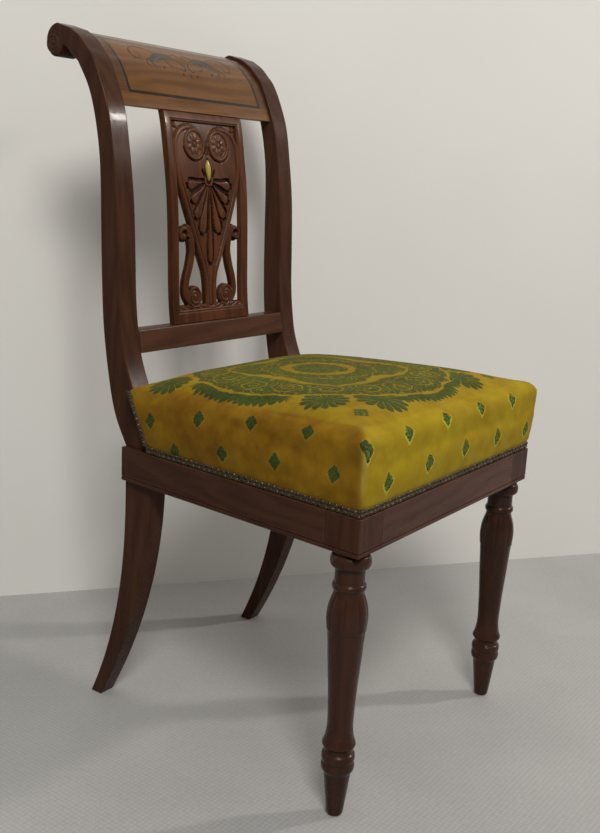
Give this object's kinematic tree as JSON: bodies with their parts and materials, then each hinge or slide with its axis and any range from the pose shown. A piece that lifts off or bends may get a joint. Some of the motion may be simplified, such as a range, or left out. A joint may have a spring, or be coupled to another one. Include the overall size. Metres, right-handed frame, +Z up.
{
  "type": "side chair",
  "caption": "Mahogany side chair with turned front legs, sabre rear legs, scrolled stiles, an inlaid rolled crest, a pierced palmette splat and a stuffed velvet seat nailed over the rails.",
  "frame": {"origin": "on the floor, in the middle of the chair's width and of its depth", "axes": "+Z up, -Y to the chair's front, +X to the right of someone who stands before it and looks at it"},
  "size_m": [0.4438, 0.5448, 0.903],
  "materials": {
    "mahogany": "dark red-brown mahogany, French polished to a soft gloss",
    "crest_veneer": "lighter orange-brown figured veneer, French polished",
    "ebony_string": "black string inlay, polished flush",
    "boxwood_inlay": "pale yellow wood, polished",
    "oak_peg": "stained end grain, waxed",
    "gold_velvet": "cut velvet, gold ground with green leaf wreath and sprigs",
    "horsehair": "curled hair stuffing",
    "jute_webbing": "plain woven jute straps",
    "hessian": "coarse open weave",
    "bronze_braid": "dark braid under a row of round-headed nails"
  },
  "bodies": {
    "root": {"crest_rail": "crest_veneer", "crest_string_lower": "ebony_string", "crest_string_left": "ebony_string", "crest_string_right": "ebony_string", "stile_left": "mahogany", "stile_right": "mahogany", "lower_back_rail": "mahogany", "splat": "mahogany", "splat_drop_inlay": "boxwood_inlay", "seat_rail_front": "mahogany", "seat_rail_left": "mahogany", "seat_rail_right": "mahogany", "seat_rail_rear": "mahogany", "front_leg_left": "mahogany", "front_leg_right": "mahogany", "tenon_peg_left": "oak_peg", "tenon_peg_right": "oak_peg", "webbing_long_1": "jute_webbing", "webbing_long_2": "jute_webbing", "webbing_long_3": "jute_webbing", "webbing_cross_1": "jute_webbing", "webbing_cross_2": "jute_webbing", "webbing_cross_3": "jute_webbing", "webbing_cross_4": "jute_webbing", "hessian_sheet": "hessian", "seat_stuffing": "horsehair", "seat_cover": "gold_velvet", "gimp_front": "bronze_braid", "gimp_left": "bronze_braid", "gimp_right": "bronze_braid", "gimp_rear": "bronze_braid"}
  },
  "joints": []
}
